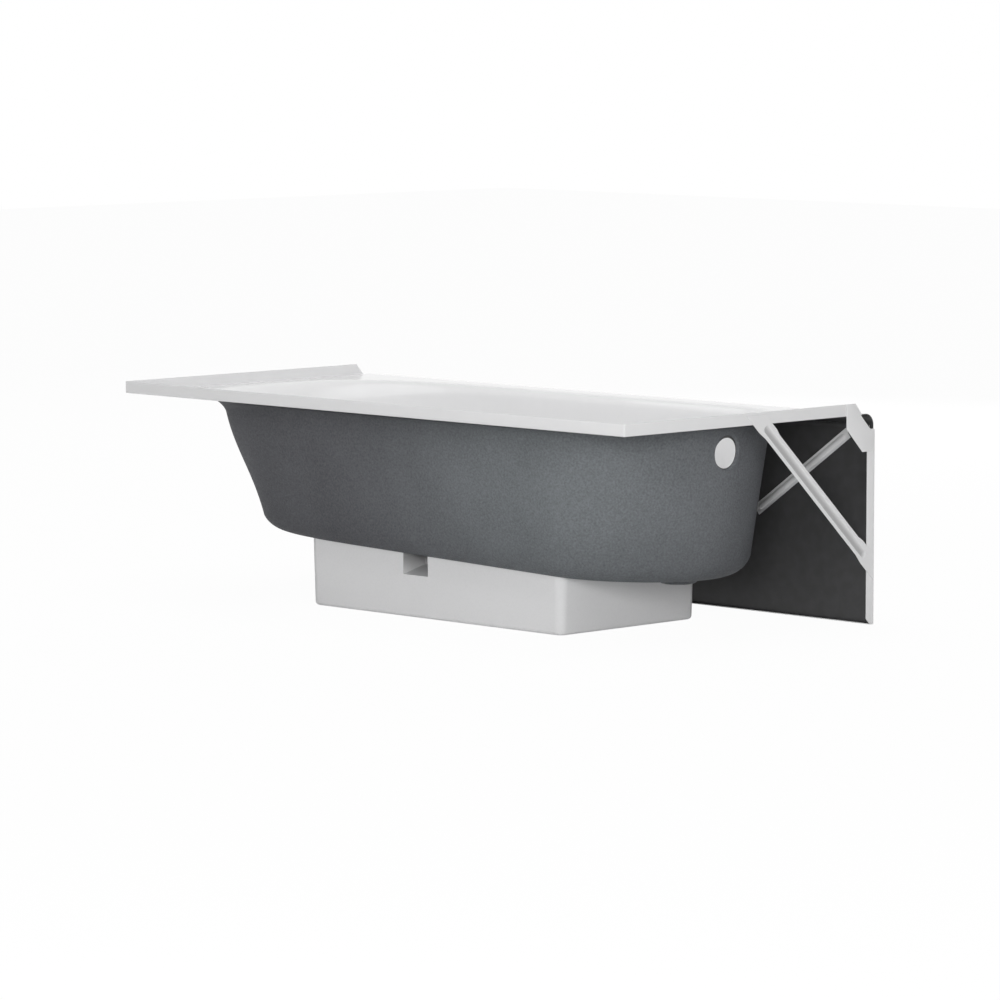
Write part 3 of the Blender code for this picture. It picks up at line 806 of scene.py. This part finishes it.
def buildApron():
    bm = bmesh.new()
    bend = apron["bend"]
    front = -bath["halfWidth"]
    footEnd = bath["halfLength"] - bend - apron["slit"]
    tongueEnd = bath["halfLength"] - apron["tongueEnd"]
    levels = (0, bend, apronTop - apron["joggle"], apronTop)
    # The (level, column) places that stay open, because the foot's bend or the tongue is there.
    slits = ((0, 0), (0, 1), (0, 2), (2, 0))
    columns = {}
    for side in (-1, 1):
        places = [(side * reach, front) for reach in (tongueEnd - apron["slit"], tongueEnd, footEnd)]
        for angle in quarterTurn(apron["bendSteps"]):
            x = side * (bath["halfLength"] - bend * (1 - math.sin(angle)))
            places.append((x, front + bend * (1 - math.cos(angle))))
        columns[side] = [[bm.verts.new((x, y, z)) for z in levels] for x, y in places]
        drawn = columns[side]
        for index, (first, second) in enumerate(zip(drawn, drawn[1:])):
            for level in range(len(levels) - 1):
                if (level, index) not in slits:
                    bm.faces.new((first[level], second[level], second[level + 1], first[level + 1]))
        innerY = front + apron["endReturn"]
        x = side * bath["halfLength"]
        toe = bm.verts.new((x, innerY - apron["footChamfer"], 0))
        heel = bm.verts.new((x, innerY, apron["footChamfer"]))
        head = bm.verts.new((x, innerY, apronTop))
        bm.faces.new(drawn[-1] + [head, heel, toe])
    left, right = columns[-1], columns[1]
    bm.faces.new((left[0][1], right[0][1], right[0][2], left[0][2]))
    foot = [column[1] for column in left[2::-1] + right[:3]]
    for angle in quarterTurn(apron["bendSteps"])[1:]:
        y = front + bend * (1 - math.cos(angle))
        z = bend * (1 - math.sin(angle))
        row = [bm.verts.new((vert.co.x, y, z)) for vert in foot]
        bridge(bm, foot, row, False)
        foot = row
    row = [bm.verts.new((vert.co.x, front + apron["footReturn"], 0)) for vert in foot]
    bridge(bm, foot, row, False)
    tongue = [left[0][2], right[0][2]]
    for z in (apronTop, apronTop + apron["tongue"]):
        row = [bm.verts.new((vert.co.x, front + apron["setback"], z)) for vert in tongue]
        bridge(bm, tongue, row, False)
        tongue = row
    loose = [vert for vert in bm.verts if not vert.link_faces]
    bmesh.ops.delete(bm, geom=loose, context="VERTS")
    aimFaces(bm, (0, -1, 0))
    item = addDrawn("apronPanel", bm, enamel, ground)
    thicken(item, bath["sheet"], 1)
    soften(item)
    return settle(item)


apronPanel = buildApron()
print("stage: apron built", len(apronPanel.data.polygons))

# Straps with a rounded bead are made by one tree and laid in place.
strapSettings = {"length": 0.503, "halfWidth": 0.0198, "waist": 0.0165, "tab": 0.051, "neck": 0.020,
                 "topSlope": 0.0, "footSlope": 0.0, "beadMargin": 0.038, "beadHalf": 0.009,
                 "beadDepth": 0.005, "alongSteps": 260, "acrossSteps": 48}


def makeStrapTree():
    tree, source, given = newTree("beadedStrap", strapSettings)
    grid = tree.nodes.new("GeometryNodeMeshGrid")
    grid.inputs["Size X"].default_value = 1.0
    grid.inputs["Size Y"].default_value = 2.0
    tree.links.new((given["alongSteps"] + 1).socket, grid.inputs["Vertices X"])
    tree.links.new((given["acrossSteps"] + 1).socket, grid.inputs["Vertices Y"])
    here = tree.nodes.new("GeometryNodeInputPosition")
    parts = tree.nodes.new("ShaderNodeSeparateXYZ")
    tree.links.new(here.outputs[0], parts.inputs[0])
    u = Term(tree, parts.outputs[0]) + 0.5
    v = Term(tree, parts.outputs[1])
    length = given["length"]
    wide = given["halfWidth"]
    waistStart = given["tab"] + given["neck"]
    fromTop = (u * length).between(given["tab"], waistStart, 0.0, 1.0)
    fromFoot = ((1 - u) * length).between(given["tab"], waistStart, 0.0, 1.0)
    half = wide + (given["waist"] - wide) * fromTop * fromFoot
    offset = v * half
    start = offset * given["topSlope"]
    stop = length + offset * given["footSlope"]
    along = start + (stop - start) * u
    low = given["beadMargin"] + given["beadHalf"]
    high = length - low
    nearest = along.join("MAXIMUM", low).join("MINIMUM", high)
    gap = along - nearest
    reach = (gap * gap + offset * offset).power(0.5) / given["beadHalf"]
    inner = reach.join("MINIMUM", 1.0)
    depth = given["beadDepth"] * (1 - inner * inner)
    place = tree.nodes.new("ShaderNodeCombineXYZ")
    for index, term in enumerate((along, offset, depth * -1.0)):
        tree.links.new(term.socket, place.inputs[index])
    move = tree.nodes.new("GeometryNodeSetPosition")
    tree.links.new(grid.outputs["Mesh"], move.inputs["Geometry"])
    tree.links.new(place.outputs[0], move.inputs["Position"])
    endTree(tree, source, move.outputs[0])
    return tree


strapTree = makeStrapTree()


# Lays a strap's skin with its along, across and outward directions, and gives it its thickness.
def layStrap(name, settings, origin, along, across, outward, thickness):
    mesh = runTree(name, strapTree, settings, strapEnamelGrooveShade)
    bm = bmesh.new()
    bm.from_mesh(mesh)
    groove = bm.verts.layers.float.new("groove")
    for vert in bm.verts:
        if settings["beadDepth"] > 0:  # pressed in, so the groove gets painted shade by its depth
            vert[groove] = max(-vert.co.z / settings["beadDepth"], 0.0)
        vert.co = origin + along * vert.co.x + across * vert.co.y + outward * vert.co.z
    aimFaces(bm, outward)
    bm.to_mesh(mesh)
    bm.free()
    item = addObject(name, mesh)
    thicken(item, thickness)
    soften(item)
    return settle(item)


brace = {"thickness": 0.0015, "topY": -0.0076, "topGap": 0.0058, "footSetback": 0.005, "footZ": 0.1219}


def buildBrace(name, side):
    top = Vector((0, brace["topY"], flangeTop - brace["topGap"]))
    foot = Vector((0, -bath["halfWidth"] + brace["footSetback"], brace["footZ"]))
    along = (foot - top).normalized()
    across = Vector((0, -along.z, along.y))
    settings = dict(strapSettings)
    settings["length"] = (foot - top).length
    settings["topSlope"] = -across.z / along.z
    settings["footSlope"] = -across.y / along.y
    outward = Vector((side, 0, 0))
    origin = top + outward * (plateX + brace["thickness"])
    return layStrap(name, settings, origin, along, across, outward, brace["thickness"])


stiffener = {"thickness": 0.0015, "halfLength": 0.1586, "halfWidth": 0.01185, "centreX": 0.5593,
             "centreZ": 0.3091, "slope": 35.3, "beadMargin": 0.0095, "beadHalf": 0.0065, "beadDepth": 0.0028}


def buildStiffener(name, side):
    slope = math.radians(stiffener["slope"])
    along = Vector((-side * math.cos(slope), 0, -math.sin(slope)))
    across = Vector((-along.z, 0, along.x))
    outward = Vector((0, 1, 0))
    settings = dict(strapSettings)
    settings.update({"length": 2 * stiffener["halfLength"], "halfWidth": stiffener["halfWidth"],
                     "waist": stiffener["halfWidth"], "beadMargin": stiffener["beadMargin"],
                     "beadHalf": stiffener["beadHalf"], "beadDepth": -stiffener["beadDepth"]})
    y = -bath["halfWidth"] + bath["sheet"] + bath["gap"] + stiffener["thickness"]
    origin = Vector((side * stiffener["centreX"], y, stiffener["centreZ"])) - along * stiffener["halfLength"]
    return layStrap(name, settings, origin, along, across, outward, stiffener["thickness"])


plate = {"thickness": 0.0015, "topGap": 0.0005, "innerY": -0.2885, "noseY": -0.3084, "heelZ": 0.418,
         "footZ": 0.3673, "footY": -0.339, "tipY": -0.3626, "tipZ": 0.4151, "outerY": -0.375,
         "shoulderZ": 0.4081}


def buildPlate(name, side):
    top = flangeTop - plate["topGap"]
    outline = [(plate["innerY"], top), (plate["innerY"], plate["heelZ"]), (plate["footY"], plate["footZ"]),
               (plate["outerY"], plate["footZ"]), (plate["outerY"], plate["shoulderZ"]),
               (plate["tipY"], plate["tipZ"]), (plate["noseY"], top)]
    bm = bmesh.new()
    x = side * (plateX + plate["thickness"])
    bm.faces.new([bm.verts.new((x, y, z)) for y, z in outline])
    aimFaces(bm, (side, 0, 0))
    item = addDrawn(name, bm, enamel)
    thicken(item, plate["thickness"])
    soften(item)
    return settle(item)


straps = {}
for end, label, side in (("drain_end", "DrainEnd", -1), ("head_end", "HeadEnd", 1)):
    straps["end_brace_" + end] = buildBrace("endBrace" + label, side)
    straps["apron_stiffener_" + end] = buildStiffener("apronStiffener" + label, side)
    straps["corner_plate_" + end] = buildPlate("cornerPlate" + label, side)
print("stage: straps and plates built")

# The foam block beds the well, and its back has a pocket with a sloped floor.
foam = {"drainX": -0.4374, "headX": 0.321, "frontY": -0.1773, "backY": 0.231, "draft": 0.026, "blank": 0.190,
        "corner": 0.020, "foot": 0.009, "pocketX": -0.0065, "pocketWidth": 0.0755, "pocketDepth": 0.063,
        "pocketSill": 0.0918, "pocketRise": 0.0155, "cornerSteps": 10, "overrun": 0.030}
foamWhite = makeFoam("beadFoam", foamLook)
# The foam gets painted shade inside its pocket.
paintPocketShade(foamWhite, foamLook, foam)


# One rounded outline of the block, wider all round by the swell.
def foamRing(swell, z):
    lowX, highX = foam["drainX"] - swell, foam["headX"] + swell
    lowY, highY = foam["frontY"] - swell, foam["backY"] + swell
    radius = foam["corner"] + swell
    corners = [(highX - radius, lowY + radius, -math.pi / 2), (highX - radius, highY - radius, 0),
               (lowX + radius, highY - radius, math.pi / 2), (lowX + radius, lowY + radius, math.pi)]
    ring = []
    for centreX, centreY, start in corners:
        for turn in quarterTurn(foam["cornerSteps"]):
            angle = start + turn
            ring.append((centreX + radius * math.cos(angle), centreY + radius * math.sin(angle), z))
    return ring


def drawBlock():
    bm = bmesh.new()
    rings = []
    for angle in quarterTurn(foam["cornerSteps"]):
        rings.append(foamRing(-foam["foot"] * (1 - math.sin(angle)), foam["foot"] * (1 - math.cos(angle))))
    rings.append(foamRing(foam["draft"] * (foam["blank"] - foam["foot"]), foam["blank"]))
    drawn = [[bm.verts.new(point) for point in ring] for ring in rings]
    for first, second in zip(drawn, drawn[1:]):
        bridge(bm, first, second)
    bm.faces.new(drawn[0])
    bm.faces.new(drawn[-1])
    bmesh.ops.recalc_face_normals(bm, faces=bm.faces)
    return addDrawn("foamBlock", bm, foamWhite)


# The room that the backed well takes in the block.
def drawBed():
    bm, top, floor = wellSkin(backingOutside + bath["gap"], foamWhite)
    bm.faces.new(top)
    bm.faces.new(floor)
    bmesh.ops.recalc_face_normals(bm, faces=bm.faces)
    return addDrawn("foamBed", bm)


def drawPocket():
    bm = bmesh.new()
    bmesh.ops.create_cube(bm, size=1)
    half = foam["pocketWidth"] / 2
    low = Vector((foam["pocketX"] - half, foam["backY"] - foam["pocketDepth"], foam["pocketSill"]))
    high = Vector((foam["pocketX"] + half, foam["backY"] + foam["overrun"], foam["blank"] + foam["overrun"]))
    bmesh.ops.scale(bm, vec=high - low, verts=bm.verts)
    bmesh.ops.translate(bm, vec=(high + low) / 2, verts=bm.verts)
    for vert in bm.verts:
        if vert.co.z < foam["blank"]:
            vert.co.z += foam["pocketRise"] / foam["pocketDepth"] * (foam["backY"] - vert.co.y)
    return addDrawn("foamPocket", bm, foamWhite)


foamBlock = drawBlock()
cutAway(foamBlock, drawBed())
cutAway(foamBlock, drawPocket())
print("stage: foam built", len(foamBlock.data.polygons))

# Each CAD node has the piece that stands for it and the name of that piece's slot, which is not used below.
standIns = {"bath_pressing": (bathPressing, "enamelled_steel"),
            "composite_backing": (compositeBacking, "composite"),
            "apron_panel": (apronPanel, "enamelled_steel"),
            "foam_block": (foamBlock, "foam")}
for node, item in straps.items():
    standIns[node] = (item, "enamelled_steel")
for node, (item, slotName) in standIns.items():
    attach(item, "root")
    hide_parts(node)

# The floor, the white room and its lamps.
stage = {"floorSize": 30.0, "floorColour": 0.85, "floorRoughness": 0.9, "floorDrop": 0.0005,
         "shadowShare": 0.03, "sky": 0.22}
lamps = {
    "top": {"place": (0.0, 0.5, 4.0), "target": (0.0, 0.0, 0.4), "size": 4.0, "power": 90.0},
    "back": {"place": (-4.0, 4.6, 1.3), "target": (-0.4, 0.2, 0.25), "size": 1.5, "power": 114.0},
    "end": {"place": (-4.5, 1.5, 0.9), "target": (-0.6, 0.0, 0.25), "size": 1.2, "power": 14.0},
    "front": {"place": (2.2, -4.6, 1.8), "target": (0.2, -0.3, 0.25), "size": 2.5, "power": 90.0},
}
sheens = {  # seen in the gloss of the enamel only
    "topSheen": {"place": (0.49, 0.95, 3.2), "target": (0.49, 0.95, 0.0), "size": 4.0, "power": 42.0},
}


# White where the camera, a gloss or a clear surface looks at it, and the plain shader for all other rays.
def whiteWhenSeen(tree, plain, output, share):
    path = tree.nodes.new("ShaderNodeLightPath")
    seen = Term(tree, path.outputs["Is Camera Ray"])
    for name in ("Is Glossy Ray", "Is Transmission Ray"):
        seen = seen.join("MAXIMUM", Term(tree, path.outputs[name]))
    kind = "ShaderNodeBackground" if output.type == "OUTPUT_WORLD" else "ShaderNodeEmission"
    white = tree.nodes.new(kind)
    white.inputs["Color"].default_value = (1, 1, 1, 1)
    white.inputs["Strength"].default_value = 1.0
    mix = tree.nodes.new("ShaderNodeMixShader")
    tree.links.new((seen * share).socket, mix.inputs[0])
    tree.links.new(plain.outputs[0], mix.inputs[1])
    tree.links.new(white.outputs[0], mix.inputs[2])
    tree.links.new(mix.outputs[0], output.inputs["Surface"])


def buildFloor():
    bm = bmesh.new()
    half = stage["floorSize"] / 2
    corners = ((-1, -1), (1, -1), (1, 1), (-1, 1))
    bm.faces.new([bm.verts.new((x * half, y * half, -stage["floorDrop"])) for x, y in corners])
    finish, tree, shader = shade("paleFloor")
    shader.inputs["Base Color"].default_value = (stage["floorColour"],) * 3 + (1,)
    shader.inputs["Roughness"].default_value = stage["floorRoughness"]
    whiteWhenSeen(tree, shader, tree.nodes["Material Output"], 1 - stage["shadowShare"])
    addDrawn("floor", bm, finish)


def buildWorld():
    world = bpy.data.worlds.new("paleRoom")
    bpy.context.scene.world = world
    world.use_nodes = True
    tree = world.node_tree
    sky = tree.nodes["Background"]
    sky.inputs["Color"].default_value = (1, 1, 1, 1)
    sky.inputs["Strength"].default_value = stage["sky"]
    whiteWhenSeen(tree, sky, tree.nodes["World Output"], 1.0)


def addLamp(name, place, target, size, power, sheen=False):
    light = bpy.data.lights.new(name, "AREA")
    light.shape = "SQUARE"
    light.size = size
    light.energy = power
    item = addObject(name, light)
    item.location = place
    item.rotation_euler = (Vector(target) - Vector(place)).to_track_quat("-Z", "Y").to_euler()
    item.visible_glossy = sheen
    item.visible_diffuse = not sheen


buildFloor()
buildWorld()
for name, lamp in lamps.items():
    addLamp(name, **lamp)
for name, lamp in sheens.items():
    addLamp(name, **lamp, sheen=True)

view = {"place": (-7.92615, 7.85833, 1.38645), "yaw": -0.782786171, "pitch": -0.102787676,
        "focalRatio": 5.2028, "sensor": 36.0, "farthest": 100.0}
camera = bpy.data.cameras.new("camera")
camera.lens = view["focalRatio"] * view["sensor"]
camera.sensor_width = view["sensor"]
camera.clip_end = view["farthest"]
eye = addObject("camera", camera)
eye.location = view["place"]
eye.rotation_euler = (math.pi / 2 + view["pitch"], 0, view["yaw"] - math.pi / 2)
bpy.context.scene.camera = eye
bpy.context.scene.view_settings.view_transform = "Standard"
print("stage: light and camera set")
